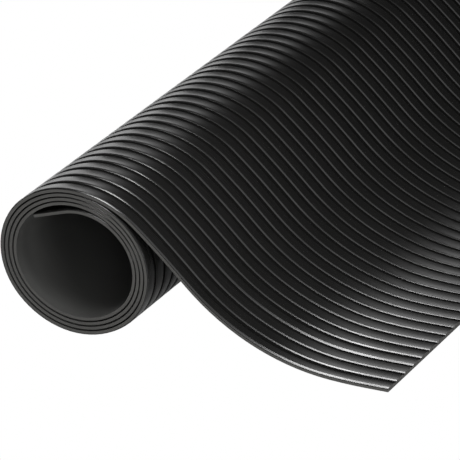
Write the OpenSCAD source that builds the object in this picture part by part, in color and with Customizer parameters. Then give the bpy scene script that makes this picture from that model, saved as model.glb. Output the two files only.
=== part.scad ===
/* [Sheet] */
// Number of ribs side by side across the mat
rib_count = 48; // [6:1:60]
// Distance from one rib to the next
rib_pitch = 12.5; // [8:0.5:16]
// Width of the groove between two ribs
groove_w = 2.5; // [1.5:0.1:4]
// Thickness of the sheet in the grooves
base_t = 2; // [1:0.1:2.1]
// Height of the ribs above the grooves
rib_h = 0.8; // [0.4:0.1:0.9]

/* [Roll] */
// Number of full turns outside the innermost one
turns = 4; // [3:1:4]
// Mean radius of the innermost turn, at the smooth under face
core_r = 41.2; // [38:0.1:60]
// Distance from one turn to the next
turn_pitch = 3.15; // [3.05:0.05:5]
// How much wider the top and bottom are bent than the sides, in radius
oval = 11; // [0:0.5:12]
// How much closer the turns lie at the upper right than at the lower left
lean = 0.1; // [0:0.01:0.12]
// How far the lowest ribs are pressed flat under the roll's weight
press = 0.3; // [0:0.05:0.5]

/* [Inner end] */
// Radius of the innermost bend, where the tongue sags off the next turn
sag_r = 40; // [36:0.1:40.2]
// Radius of the tongue's own bend
tongue_r = 38.5; // [30:0.5:40]
// Length of the tongue's straight tip
tongue_l = 24; // [5:1:24]

/* [Outer end] */
// Radius of the bend over which the sheet leaves the roll
lift_r = 70.4; // [60:0.1:80]
// Radius of the nearly straight slope below it
slope_r = 534; // [400:2:600]
// Radius of the hollow bend at the foot of the slope
ramp_r = 161; // [140:1:170]
// Radius of the run-out before the flat
runout_r = 362; // [300:2:400]
// Length of the free end that lies flat
flat_l = 15.5; // [5:0.5:200]

/* [Hidden] */
$fn = 96;
mat_t = base_t + rib_h;
rib_w = rib_pitch - groove_w;
mat_w = rib_count * rib_pitch - groove_w;

// Bends turn by the angles of whole-number triangles, 10296-11753-15625, 7-24-25 and
// 237-3116-3125, so that their sines and cosines are short decimals and no gap opens at a joint
wide_bend = acos(0.658944);
main_bend = asin(0.658944);
tongue_bend = acos(0.96);
slight_bend = acos(0.99712);

// Quarter turns are counted clockwise, and the first starts at the upper right
last = 4 * turns - 1;
function normal(q) = [cos(main_bend - 90 * q), sin(main_bend - 90 * q)];
function turn_r(q) = core_r + q * turn_pitch / 4 + (q % 2 == 0 ? -oval : oval) / 2 + (q % 4 < 2 ? lean : 0);
function centre(q) = q == 0 ? [0, 0] : centre(q - 1) + (turn_r(q - 1) - turn_r(q)) * normal(q);

// Side view: the floor, the crest of the outermost turn and the fall of each bend below it
foot = centre(last - 2);
floor_z = foot[1] - turn_r(last - 2) - mat_t + press;
crest = centre(last) + [0, turn_r(last)];
slope_a = main_bend + slight_bend;
lift_xz = lift_r * [sin(main_bend), cos(main_bend) - 1];
slope_xz = slope_r * [sin(slope_a) - sin(main_bend), cos(slope_a) - cos(main_bend)];
ramp_xz = ramp_r * [sin(slope_a) - sin(slight_bend), cos(slope_a) - cos(slight_bend)];
runout_xz = runout_r * [sin(slight_bend), cos(slight_bend) - 1];
free_xz = crest + lift_xz + slope_xz + ramp_xz + runout_xz;
straight_l = (free_xz[1] - floor_z) / sin(slope_a);

left_x = centre(last - 1)[0] - turn_r(last - 1) - mat_t;
right_x = free_xz[0] + straight_l * cos(slope_a) + flat_l;
mid_x = (left_x + right_x) / 2;

// Stretches of the sheet as [radius, angle], hollow ones with a radius below 0, or [0, length]
inner_path = [[sag_r, wide_bend], [tongue_r, tongue_bend], [0, tongue_l]];
outer_path = concat(
    [for (q = [0 : last - 1]) [turn_r(q), 90]],
    [[turn_r(last), main_bend], [lift_r, main_bend], [slope_r, slight_bend], [0, straight_l]],
    [[-ramp_r, main_bend], [-runout_r, slight_bend], [0, flat_l]]
);

// Cross-section: x outward through the thickness, y across the ribs, cut flush with the
// first rib and the last
module section() {
    square([base_t, mat_w]);
    for (k = [0 : rib_count - 1]) translate([0, k * rib_pitch]) square([mat_t, rib_w]);
}

// Quarter bend from the start of its frame towards +y, round an axis on the inner side or,
// with a radius below 0, on the ribbed side
module quarter(r) {
    translate([-r, 0, 0])
        if (r > 0) rotate_extrude(angle = 90) translate([r, 0]) section();
        else rotate_extrude(start = 90, angle = 90) translate([-r, 0]) mirror([1, 0]) section();
}

// Puts its children at the far end of a stretch
module past(r, size) {
    if (r == 0) translate([0, size, 0]) children();
    else translate([-r, 0, 0]) rotate([0, 0, r > 0 ? size : -size]) translate([r, 0, 0]) children();
}

// One stretch: a bend under a quarter is cut off by the plane where the next stretch starts
module stretch(r, size) {
    reach = 2 * abs(r);
    if (r == 0) rotate([-90, 0, 0]) mirror([0, 1, 0]) linear_extrude(size) section();
    else if (size == 90) quarter(r);
    else difference() {
        quarter(r);
        past(r, size) translate([-reach, 0, -1]) cube([2 * reach, reach, mat_w + 2]);
    }
}

// Puts its children at the start of stretch i
module along(path, i) {
    if (i == 0) children();
    else along(path, i - 1) past(path[i - 1][0], path[i - 1][1]) children();
}

module strip(path) {
    for (i = [0 : len(path) - 1]) along(path, i) stretch(path[i][0], path[i][1]);
}

module ribbed_mat() {
    start = turn_r(0) * normal(0);
    color("#26272a") difference() {
        translate([start[0] - mid_x, -mat_w / 2, start[1] - floor_z]) rotate([-90, -main_bend, 0]) {
            strip(outer_path);
            mirror([0, 1, 0]) strip(inner_path);
        }
        translate([foot[0] - mid_x - core_r / 2, -mat_w, -mat_t]) cube([core_r, 2 * mat_w, mat_t]);
    }
}

ribbed_mat();
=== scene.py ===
"""Ribbed rubber runner mat, rolled up with its free end lying flat on the floor.

Lengths are written in millimetres, as in the part's source, and the meshes are in metres in
the same frame: x from the roll to the free end, y across the mat, z up, the floor at z 0.
"""

import bpy
import numpy as np
from mathutils import Matrix, Vector


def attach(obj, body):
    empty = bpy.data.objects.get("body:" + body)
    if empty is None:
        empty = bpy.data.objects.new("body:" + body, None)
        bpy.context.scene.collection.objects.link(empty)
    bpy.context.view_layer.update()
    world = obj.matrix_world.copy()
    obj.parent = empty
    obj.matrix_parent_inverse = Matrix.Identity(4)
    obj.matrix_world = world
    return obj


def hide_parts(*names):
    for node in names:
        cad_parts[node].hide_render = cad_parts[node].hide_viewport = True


MM = 0.001
MAT = "ribbed_mat"

# Sheet, as in the part's source
RIB_COUNT = 48
RIB_PITCH = 12.5
GROOVE_W = 2.5
BASE_T = 2.0
RIB_H = 0.8
MAT_T = BASE_T + RIB_H
RIB_W = RIB_PITCH - GROOVE_W
MAT_W = RIB_COUNT * RIB_PITCH - GROOVE_W

# Roll and its two ends, as in the part's source
TURNS = 4
CORE_R = 41.2
TURN_PITCH = 3.15
OVAL = 11.0
LEAN = 0.1
PRESS = 0.3
SAG_R = 40.0
TONGUE_R = 38.5
TONGUE_L = 24.0
LIFT_R = 70.4
SLOPE_R = 534.0
RAMP_R = 161.0
RUNOUT_R = 362.0
FLAT_L = 15.5

# Angles of the bends, in radians, as in the part's source
WIDE_BEND = np.arccos(0.658944)
MAIN_BEND = np.arcsin(0.658944)
TONGUE_BEND = np.arccos(0.96)
SLIGHT_BEND = np.arccos(0.99712)
QUARTER = np.pi / 2
LAST = 4 * TURNS - 1

# Furthest that a facet of the mesh may lie off its arc
CHORD_ERROR = 0.05

# Eased edges of the ribs, as width and height, by rib from the front: None is for all the rest.
# On the free end the first rib and the fourth are eased more than the rest
ROLL_EDGES = {None: (1.5, 0.4)}
FREE_EDGES = {None: (1.0, 0.45), 0: (2.0, 0.3), 3: (1.7, 0.6)}
# How far before the free end the roll's edges begin to give way to the free end's, and over what
# length they do
CHANGE_FROM = 170.0
CHANGE_OVER = 60.0
# How far the shading leans, in degrees, at the foot and the head of an eased edge, and at the two
# borders of a rib's top
ROLL_TILT = (33, 19)
FREE_TILT = (37, 31)
CROWN_TILT = 5

# Faces from one rib's foot to the next: front side, front eased edge, top, back eased edge, back
# side and groove. The sides and the groove are rougher, and darker without gloss as painted shade
POINTS_A_RIB = 6
DULL_SHADED_FACES = (0, 4, 5)

# Finishes of the rubber, one for each material slot of the mat in this order. The grain's depth is
# in millimetres, its scales are in cells per metre, and each shift is how much it alters the
# roughness from place to place
RIBBED, BACK_LIT, CUT, GROOVE_SHADE = range(4)
FINISHES = {
    "rubber_ribbed": dict(
        pale=(0.0075, 0.0074, 0.0071), dark=(0.0045, 0.0044, 0.0043), roughness=0.26, gloss=0.5,
        grain_depth=0.003, cell_scale=1800, streak_scale=900, streak_share=0.5,
        streak_shift=0.11, rib_shift=0.05),
    # Under face: paler than the ribbed top, as painted light inside the roll
    "rubber_back_lit": dict(
        pale=(0.050, 0.050, 0.048), dark=(0.028, 0.028, 0.027), roughness=0.48, gloss=0.4,
        grain_depth=0.02, cell_scale=1200, streak_scale=250, streak_share=0.4,
        streak_shift=0.16),
    "rubber_cut": dict(
        pale=(0.070, 0.069, 0.0655), dark=(0.036, 0.0355, 0.034), roughness=0.75, gloss=0.2,
        grain_depth=0.06, cell_scale=1500, streak_scale=1600, streak_share=0.7,
        streak_shift=0.16),
    # Sides and groove: rougher, and darker and without gloss as painted shade in the grooves
    "rubber_groove_shade": dict(
        pale=(0.0060, 0.0059, 0.0057), dark=(0.0045, 0.0044, 0.0043), roughness=0.6, gloss=0.0,
        grain_depth=0.02, cell_scale=1800, streak_scale=900, streak_share=0.5,
        streak_shift=0.12),
}

# Grain of every finish: how far the streaks are drawn out along the sheet, its slow clouds, and
# the shift either way over which the colour runs from dark to pale
STREAK_DRAW = 0.04
CLOUD_SCALE = 30.0
CLOUD_SHIFT = 0.08
TONE_SHIFT = 0.1

# Studio: the room's dim level, and glows as heading and height in degrees, sharpness, strength
ROOM_LEVEL = 0.05
GLOWS = [
    (127, 38, 110, 6.8),
    (112, 38, 110, 1.8),
    (145, 4, 300, 14.0),
    (-60, 30, 14, 2.0),
    (-60, 57, 25, 3.0),
    (0, 45, 40, 2.2),
]
# Softboxes: place, aim, and width and height in metres, and power in watts
SOFTBOXES = {
    "overhead": ((-0.24, -0.36, 0.95), (-0.214, -0.284, 0), (0.2, 0.2), 1.25),
    "near_overhead": ((-0.018, -0.368, 0.5), (0.014, -0.329, 0), (0.2, 0.13), 1.9),
    "back_left": ((-4.0, 4.02, 1.65), (-0.09, -0.25, 0.1), (1.8, 3.2), 27),
    "front_right": ((0.45, -1.2, 0.5), (-0.05, -0.25, 0.03), (0.35, 0.35), 3.0),
    "low_right": ((0.9, -0.7, 0.2), (-0.05, -0.25, 0.03), (0.35, 0.35), 4.0),
}
# Floor: half its side in metres, its paper, and how white it is in gloss at two distances in
# metres from the middle
FLOOR_HALF = 6.0
PAPER = (0.8, 0.8, 0.8, 1)
WHITE = (1, 1, 1, 1)
GLOSS_REACH = (0.3, 1.0)
FLOOR_GLOSS = (0.12, 0.25)

# Camera, fitted to the photograph: place in millimetres, angles in degrees, lens and sensor in
# millimetres, and how far it sees in metres
CAMERA_AT = (1213.3, -2439.15, 1179.7)
CAMERA_HEADING = 28.8766
CAMERA_DOWN = 23.912
CAMERA_ROLL = -2.717
CAMERA_LENS = 323.58
CAMERA_SENSOR = 36
CAMERA_REACH = 20


def normal(angle):
    """Unit vector in the side view at this polar angle, or one for each angle of an array."""
    return np.stack([np.cos(angle), np.sin(angle)], -1)


def quarter_radius(q):
    """Radius of quarter turn q, which grows by a quarter of the turns' spacing each time. The even
    quarters are tighter than the odd ones, and the first two of each turn are slightly wider."""
    oval = (-OVAL if q % 2 == 0 else OVAL) / 2
    lean = LEAN if q % 4 < 2 else 0
    return CORE_R + q * TURN_PITCH / 4 + oval + lean


def quarter_centres():
    """Centres of the quarter turns: each lies on the line that its turn shares with the one
    before."""
    centres = [np.zeros(2)]
    for q in range(1, LAST + 1):
        step = quarter_radius(q - 1) - quarter_radius(q)
        centres.append(centres[-1] + step * normal(MAIN_BEND - q * QUARTER))
    return centres


def bend(radius, angles):
    """Step from the start to the end of a bend, given the angles of the sheet's normal from the
    upright at both: the radius times the differences of their sines and of their cosines."""
    start, end = angles
    return radius * np.array([np.sin(end) - np.sin(start), np.cos(end) - np.cos(start)])


def side_view():
    """Stretches of the sheet from the innermost joint outwards and inwards, as (radius, angle) or
    (0, length), with the place of that joint. The straight stretch is as long as the fall to the
    floor needs, and the whole is centred between the roll's left side and the free end."""
    centres = quarter_centres()
    floor_z = centres[LAST - 2][1] - quarter_radius(LAST - 2) - MAT_T + PRESS
    slope_a = MAIN_BEND + SLIGHT_BEND
    free = centres[LAST] + [0, quarter_radius(LAST)]
    free = free + bend(LIFT_R, (0, MAIN_BEND)) + bend(SLOPE_R, (MAIN_BEND, slope_a))
    free = free - bend(RAMP_R, (slope_a, SLIGHT_BEND)) - bend(RUNOUT_R, (SLIGHT_BEND, 0))
    straight_l = (free[1] - floor_z) / np.sin(slope_a)
    left = centres[LAST - 1][0] - quarter_radius(LAST - 1) - MAT_T
    right = free[0] + straight_l * np.cos(slope_a) + FLAT_L
    start = quarter_radius(0) * normal(MAIN_BEND) - [(left + right) / 2, floor_z]
    outer = [(quarter_radius(q), QUARTER) for q in range(LAST)]
    outer += [(quarter_radius(LAST), MAIN_BEND), (LIFT_R, MAIN_BEND), (SLOPE_R, SLIGHT_BEND)]
    outer += [(0, straight_l), (-RAMP_R, MAIN_BEND), (-RUNOUT_R, SLIGHT_BEND), (0, FLAT_L)]
    inner = [(SAG_R, WIDE_BEND), (TONGUE_R, TONGUE_BEND), (0, TONGUE_L)]
    return start, outer, inner


def follow(start, stretches, side):
    """Places, normal angles and path lengths along a row of stretches. A bend of radius r turns
    about the point r below the sheet, so a place on it is that point plus r times the normal, and
    the normal turns by the bend's angle, clockwise for side 1 and the other way for side -1. A
    bend has as many steps as keep a chord within CHORD_ERROR of the arc."""
    place, angle, run = start, MAIN_BEND, 0.0
    places, angles, runs = [place[None]], [np.array([angle])], [np.array([run])]
    for radius, size in stretches:
        if radius == 0:
            t = np.array([1.0])
            heading = side * np.array([np.sin(angle), -np.cos(angle)])
            turned, moved = np.full(1, angle), place + np.outer(t * size, heading)
            length = size
        else:
            steps = int(np.ceil(size / (2 * np.arccos(1 - CHORD_ERROR / abs(radius)))))
            t = np.arange(1, steps + 1) / steps
            turned = angle - side * np.sign(radius) * size * t
            moved = place - radius * normal(angle) + radius * normal(turned)
            length = abs(radius) * size
        places.append(moved)
        angles.append(turned)
        runs.append(run + length * t)
        place, angle, run = moved[-1], turned[-1], run + length
    return np.concatenate(places), np.concatenate(angles), np.concatenate(runs)


def mat_path():
    """The whole sheet's under face in the side view, from the tongue's tip to the free end."""
    start, outer, inner = side_view()
    out_at, out_angle, out_run = follow(start, outer, 1)
    in_at, in_angle, in_run = follow(start, inner, -1)
    at = np.concatenate([in_at[:0:-1], out_at])
    angle = np.concatenate([in_angle[:0:-1], out_angle])
    run = np.concatenate([-in_run[:0:-1], out_run])
    return at, angle, run - run[0]


def rib_profile(edges, edge_tilt):
    """Outline of the sheet across the ribs, as y, height and two tilts of the surface's normal
    from the upright towards +y, one for the face on each side of the point. It runs from the
    under face at the front edge over the ribs to the under face at the back edge. A rib has
    upright sides, eased edges of the given width and height, and a flat top. Its tilts shade an
    eased edge as bowed between the two given ones, and the top as slightly crowned."""
    width, fall = np.array([edges.get(k, edges[None]) for k in range(RIB_COUNT)]).T
    none = 0 * width
    y = np.stack([none, none, width, RIB_W - width, none + RIB_W, none + RIB_W], -1)
    h = MAT_T - np.stack([none + RIB_H, fall, none, none, fall, none + RIB_H], -1)
    foot, head = edge_tilt
    tilt_in = np.radians([0, -90, -head, CROWN_TILT, foot, 90])
    tilt_out = np.radians([-90, -foot, -CROWN_TILT, head, 90, 0])
    ribs = np.arange(RIB_COUNT)[:, None] * RIB_PITCH
    y = np.concatenate([[0], (ribs + y).ravel(), [MAT_W]]) - MAT_W / 2
    h = np.concatenate([[0], h.ravel(), [0]])
    tilt_in = np.concatenate([[np.pi], np.tile(tilt_in, RIB_COUNT), [QUARTER]])
    tilt_out = np.concatenate([[-QUARTER], np.tile(tilt_out, RIB_COUNT), [np.pi]])
    tilt_in[1], tilt_out[-2] = -QUARTER, QUARTER
    return np.stack([y, h, tilt_in, tilt_out])


def upright(angle, tilt):
    """Normals in the frame: the path's normal leaned over by the tilt towards +y."""
    lean = np.cos(tilt)
    return np.stack([np.cos(angle) * lean, np.sin(tilt) + 0 * angle, np.sin(angle) * lean], -1)


def ribbed_mat():
    """The mat: the rib profile carried along the path. A point is the path's place plus its
    height times the path's normal, at its own y, and nothing goes below the floor, which presses
    the lowest ribs flat. The profile passes evenly from the roll's to the free end's over a
    stretch of the slope. The grid closes round under the sheet, and the tip and the free end are
    one face each."""
    at, angle, run = mat_path()
    roll, free = rib_profile(ROLL_EDGES, ROLL_TILT), rib_profile(FREE_EDGES, FREE_TILT)
    passed = np.clip((run - run[-1] + CHANGE_FROM) / CHANGE_OVER, 0, 1)[:, None]
    y, h, tilt_in, tilt_out = [a + passed * (b - a) for a, b in zip(roll, free)]
    rows, columns = y.shape
    out = normal(angle)
    x, z = at[:, :1] + out[:, :1] * h, at[:, 1:] + out[:, 1:] * h
    grid = np.stack([x, y, np.maximum(z, 0)], -1)
    index = np.arange(rows * columns).reshape(rows, columns)
    after = np.roll(index, -1, 1)
    quads = np.stack([index[:-1], after[:-1], after[1:], index[1:]], -1)[..., ::-1].reshape(-1, 4)
    mesh = bpy.data.meshes.new(MAT)
    faces = quads.tolist() + [index[0].tolist(), index[-1, ::-1].tolist()]
    mesh.from_pydata((grid.reshape(-1, 3) * MM).tolist(), [], faces)

    # Normals of each face's corners: the path's own along it, the profile's tilts across it
    left = upright(angle[:, None], tilt_out)
    right = upright(angle[:, None], np.roll(tilt_in, -1, 1))
    sheet = np.stack([left[:-1], right[:-1], right[1:], left[1:]], 2)[:, :, ::-1].reshape(-1, 3)
    tip = np.tile([-np.sin(angle[0]), 0, np.cos(angle[0])], (columns, 1))
    end = np.tile([np.sin(angle[-1]), 0, -np.cos(angle[-1])], (columns, 1))
    mesh.normals_split_custom_set(np.concatenate([sheet, tip, end]))

    # Flat pattern in metres: path length, and the distance round the outline; on the two ends the
    # height takes the path's place
    across = np.concatenate([[0], np.cumsum(np.hypot(np.diff(roll[0]), np.diff(roll[1])))])
    loops = np.empty(len(mesh.loops), np.int32)
    mesh.loops.foreach_get("vertex_index", loops)
    uv = np.stack([run[loops // columns], across[loops % columns]], -1)
    uv[-2 * columns:, 0] = roll[1][loops[-2 * columns:] % columns]
    flat = mesh.uv_layers.new(name="flat")
    flat.data.foreach_set("uv", (uv * MM).astype(np.float32).ravel())

    # Finishes: the first and last but one columns are the cut sides, the last is the under face
    finish = np.empty((rows - 1, columns), np.int32)
    face = np.arange(columns - 2) % POINTS_A_RIB
    # The sides and the grooves take the rougher finish with painted shade
    finish[:, 1:-1] = np.where(np.isin(face, DULL_SHADED_FACES), GROOVE_SHADE, RIBBED)
    # The under face takes the paler finish with painted light
    finish[:, -1] = BACK_LIT
    finish[:, [0, -2]] = CUT
    slots = np.append(finish.ravel(), [CUT, CUT]).astype(np.int32)
    mesh.polygons.foreach_set("material_index", slots)
    mesh.update()
    piece = bpy.data.objects.new("mat", mesh)
    bpy.context.scene.collection.objects.link(piece)
    return piece


def adder(tree):
    """A function that adds a node to this tree, with its properties and plain inputs set by
    name."""
    def add(kind, **values):
        node = tree.nodes.new(kind)
        for key, value in values.items():
            if hasattr(node, key):
                setattr(node, key, value)
            else:
                node.inputs[key.replace("_", " ")].default_value = value
        return node
    return add


def nodes_of(owner):
    """Emptied node tree of a material or world, as its add and link functions."""
    owner.use_nodes = True
    owner.node_tree.nodes.clear()
    return adder(owner.node_tree), owner.node_tree.links.new


def sums(add, link, operation, first, second):
    """One step of arithmetic on an output or a plain number each."""
    step = add("ShaderNodeMath", operation=operation)
    for socket, value in zip(step.inputs, (first, second)):
        if isinstance(value, (int, float)):
            socket.default_value = value
        else:
            link(value, socket)
    return step.outputs[0]


def about_zero(add, link, chance, amount):
    """A number between 0 and 1 moved to lie about 0, times an amount."""
    return sums(add, link, "MULTIPLY", sums(add, link, "SUBTRACT", chance, 0.5), amount)


def moulded_grain():
    """Shader group for the skin of the rubber, on the flat pattern in metres. Fine cells cover it,
    and streaks are the same kind of noise drawn out along the sheet. Height is cells and streaks
    mixed by the share, for a bump. Shift is the streaks and slow clouds, each about 0, added by
    their own amounts, for the roughness and the colour."""
    group = bpy.data.node_groups.new("moulded_grain", "ShaderNodeTree")
    socket = group.interface.new_socket
    socket("Pattern", in_out="INPUT", socket_type="NodeSocketVector")
    for name in ("Cell Scale", "Streak Scale", "Streak Share", "Streak Shift", "Cloud Shift"):
        socket(name, in_out="INPUT", socket_type="NodeSocketFloat")
    for name in ("Height", "Shift"):
        socket(name, in_out="OUTPUT", socket_type="NodeSocketFloat")
    add, link = adder(group), group.links.new
    given, made = add("NodeGroupInput"), add("NodeGroupOutput")
    drawn = add("ShaderNodeVectorMath", operation="MULTIPLY")
    drawn.inputs[1].default_value = (STREAK_DRAW, 1, 1)
    link(given.outputs["Pattern"], drawn.inputs[0])
    cells = add("ShaderNodeTexNoise", Detail=3.0)
    streaks = add("ShaderNodeTexNoise", Detail=2.0)
    clouds = add("ShaderNodeTexNoise", Detail=2.0, Scale=CLOUD_SCALE)
    link(given.outputs["Pattern"], cells.inputs["Vector"])
    link(drawn.outputs[0], streaks.inputs["Vector"])
    link(given.outputs["Pattern"], clouds.inputs["Vector"])
    link(given.outputs["Cell Scale"], cells.inputs["Scale"])
    link(given.outputs["Streak Scale"], streaks.inputs["Scale"])
    height = add("ShaderNodeMix")
    link(given.outputs["Streak Share"], height.inputs[0])
    link(cells.outputs[0], height.inputs[2])
    link(streaks.outputs[0], height.inputs[3])
    link(height.outputs[0], made.inputs["Height"])
    shifts = [about_zero(add, link, noise.outputs[0], given.outputs[amount])
              for noise, amount in ((streaks, "Streak Shift"), (clouds, "Cloud Shift"))]
    link(sums(add, link, "ADD", *shifts), made.inputs["Shift"])
    return group


def rib_by_rib(add, link, amount):
    """Small difference from rib to rib: a random number for each whole pitch of y, about 0."""
    place = add("ShaderNodeTexCoord")
    apart = add("ShaderNodeSeparateXYZ")
    link(place.outputs["Object"], apart.inputs[0])
    rib = sums(add, link, "ADD", apart.outputs["Y"], MAT_W / 2 * MM)
    rib = sums(add, link, "FLOOR", sums(add, link, "DIVIDE", rib, RIB_PITCH * MM), 0)
    chance = add("ShaderNodeTexWhiteNoise", noise_dimensions="1D")
    link(rib, chance.inputs["W"])
    return about_zero(add, link, chance.outputs["Value"], amount)


def rubber(name, grain, pale, dark, roughness, gloss, grain_depth, cell_scale, streak_scale,
           streak_share, streak_shift, rib_shift=0.0):
    """Black rubber with the moulded grain. Roughness is its mean plus the grain's shift and each
    rib's own, and the colour runs from dark to pale with the grain's shift."""
    material = bpy.data.materials.new(name)
    add, link = nodes_of(material)
    flat = add("ShaderNodeUVMap", uv_map="flat")
    skin = add("ShaderNodeGroup", node_tree=grain, Cell_Scale=cell_scale,
               Streak_Scale=streak_scale, Streak_Share=streak_share, Streak_Shift=streak_shift,
               Cloud_Shift=CLOUD_SHIFT)
    link(flat.outputs[0], skin.inputs["Pattern"])
    surface = add("ShaderNodeBsdfPrincipled", Specular_IOR_Level=gloss)
    shift = skin.outputs["Shift"]
    rough = sums(add, link, "ADD", shift, roughness)
    if rib_shift:
        rough = sums(add, link, "ADD", rough, rib_by_rib(add, link, rib_shift))
    link(rough, surface.inputs["Roughness"])
    tone = add("ShaderNodeMapRange", From_Min=-TONE_SHIFT, From_Max=TONE_SHIFT)
    link(shift, tone.inputs["Value"])
    colour = add("ShaderNodeMix", data_type="RGBA")
    colour.inputs[6].default_value, colour.inputs[7].default_value = (*dark, 1), (*pale, 1)
    link(tone.outputs[0], colour.inputs[0])
    link(colour.outputs[2], surface.inputs["Base Color"])
    relief = add("ShaderNodeBump", Strength=1.0, Distance=grain_depth * MM)
    link(skin.outputs["Height"], relief.inputs["Height"])
    link(relief.outputs[0], surface.inputs["Normal"])
    link(surface.outputs[0], add("ShaderNodeOutputMaterial").inputs[0])
    return material


def camera():
    """The photograph's camera: turned left by its heading, then down, then rolled about its line
    of sight."""
    heading, down, roll = np.radians([CAMERA_HEADING, CAMERA_DOWN, CAMERA_ROLL])
    level = np.array([np.cos(heading), np.sin(heading), 0])
    ahead = np.array([-np.sin(heading) * np.cos(down), np.cos(heading) * np.cos(down),
                      -np.sin(down)])
    above = np.cross(level, ahead)
    right = np.cos(roll) * level + np.sin(roll) * above
    up = np.cos(roll) * above - np.sin(roll) * level
    turn = Matrix(np.stack([right, up, -ahead], 1).tolist()).to_4x4()
    data = bpy.data.cameras.new("camera")
    data.lens, data.sensor_width, data.clip_end = CAMERA_LENS, CAMERA_SENSOR, CAMERA_REACH
    seen = bpy.data.objects.new("camera", data)
    seen.matrix_world = Matrix.Translation(Vector(CAMERA_AT) * MM) @ turn
    bpy.context.scene.collection.objects.link(seen)
    bpy.context.scene.camera = seen


def softbox(name, at, aim, size, power):
    """A rectangular lamp in metres, facing the point that it is aimed at."""
    data = bpy.data.lights.new(name, "AREA")
    data.shape, data.energy = "RECTANGLE", power
    data.size, data.size_y = size
    lamp = bpy.data.objects.new(name, data)
    facing = (Vector(aim) - Vector(at)).to_track_quat("-Z", "Y")
    lamp.matrix_world = Matrix.Translation(at) @ facing.to_matrix().to_4x4()
    lamp.visible_camera = False
    bpy.context.scene.collection.objects.link(lamp)


def white_floor():
    """A paper floor that keeps shadows for soft light. It shows white to the camera, and in gloss
    a share of white that grows away from the mat."""
    half = FLOOR_HALF
    corners = [(-half, -half, 0), (half, -half, 0), (half, half, 0), (-half, half, 0)]
    mesh = bpy.data.meshes.new("floor")
    mesh.from_pydata(corners, [], [(0, 1, 2, 3)])
    floor = bpy.data.objects.new("floor", mesh)
    bpy.context.scene.collection.objects.link(floor)
    material = bpy.data.materials.new("floor_paper")
    add, link = nodes_of(material)
    paper = add("ShaderNodeBsdfDiffuse", Color=PAPER)
    white = add("ShaderNodeEmission", Color=WHITE, Strength=1.0)
    place = add("ShaderNodeTexCoord")
    out_by = add("ShaderNodeVectorMath", operation="LENGTH")
    link(place.outputs["Object"], out_by.inputs[0])
    grown = add("ShaderNodeMapRange", From_Min=GLOSS_REACH[0], From_Max=GLOSS_REACH[1],
                To_Min=FLOOR_GLOSS[0], To_Max=FLOOR_GLOSS[1])
    link(out_by.outputs["Value"], grown.inputs["Value"])
    ray = add("ShaderNodeLightPath").outputs
    gloss = sums(add, link, "MAXIMUM", ray["Is Glossy Ray"], ray["Is Transmission Ray"])
    gloss = sums(add, link, "MULTIPLY", gloss, grown.outputs[0])
    mix = add("ShaderNodeMixShader")
    link(sums(add, link, "MAXIMUM", ray["Is Camera Ray"], gloss), mix.inputs[0])
    link(paper.outputs[0], mix.inputs[1])
    link(white.outputs[0], mix.inputs[2])
    link(mix.outputs[0], add("ShaderNodeOutputMaterial").inputs[0])
    mesh.materials.append(material)


def studio_world():
    """White behind the object for the camera. For every other ray a dim room with soft glows: a
    glow is its strength times the cosine to its direction, at least 0, raised to its sharpness."""
    world = bpy.data.worlds.new("studio")
    bpy.context.scene.world = world
    add, link = nodes_of(world)
    place = add("ShaderNodeTexCoord")
    level = ROOM_LEVEL
    for heading, height, sharpness, strength in GLOWS:
        turn, tilt = np.radians([heading, height])
        towards = add("ShaderNodeVectorMath", operation="DOT_PRODUCT")
        towards.inputs[1].default_value = (np.cos(turn) * np.cos(tilt),
                                           np.sin(turn) * np.cos(tilt), np.sin(tilt))
        link(place.outputs["Generated"], towards.inputs[0])
        facing = sums(add, link, "MAXIMUM", towards.outputs["Value"], 0.0)
        glow = sums(add, link, "MULTIPLY", sums(add, link, "POWER", facing, sharpness), strength)
        level = sums(add, link, "ADD", glow, level)
    room = add("ShaderNodeBackground")
    link(level, room.inputs["Strength"])
    white = add("ShaderNodeBackground", Color=WHITE, Strength=1.0)
    mix = add("ShaderNodeMixShader")
    link(add("ShaderNodeLightPath").outputs["Is Camera Ray"], mix.inputs[0])
    link(room.outputs[0], mix.inputs[1])
    link(white.outputs[0], mix.inputs[2])
    link(mix.outputs[0], add("ShaderNodeOutputWorld").inputs[0])


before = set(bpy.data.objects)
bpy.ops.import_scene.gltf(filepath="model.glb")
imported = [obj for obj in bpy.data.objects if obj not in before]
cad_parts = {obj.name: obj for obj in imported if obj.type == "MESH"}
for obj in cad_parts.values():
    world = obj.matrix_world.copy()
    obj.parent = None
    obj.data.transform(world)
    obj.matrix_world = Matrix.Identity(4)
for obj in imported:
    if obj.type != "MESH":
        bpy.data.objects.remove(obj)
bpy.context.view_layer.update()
bpy.context.scene.view_settings.view_transform = "Standard"

camera()
white_floor()
studio_world()
for name, (at, aim, size, power) in SOFTBOXES.items():
    softbox(name, at, aim, size, power)

mat = ribbed_mat()
grain = moulded_grain()
for name, values in FINISHES.items():
    mat.data.materials.append(rubber(name, grain, **values))
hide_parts(MAT)
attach(mat, "root")
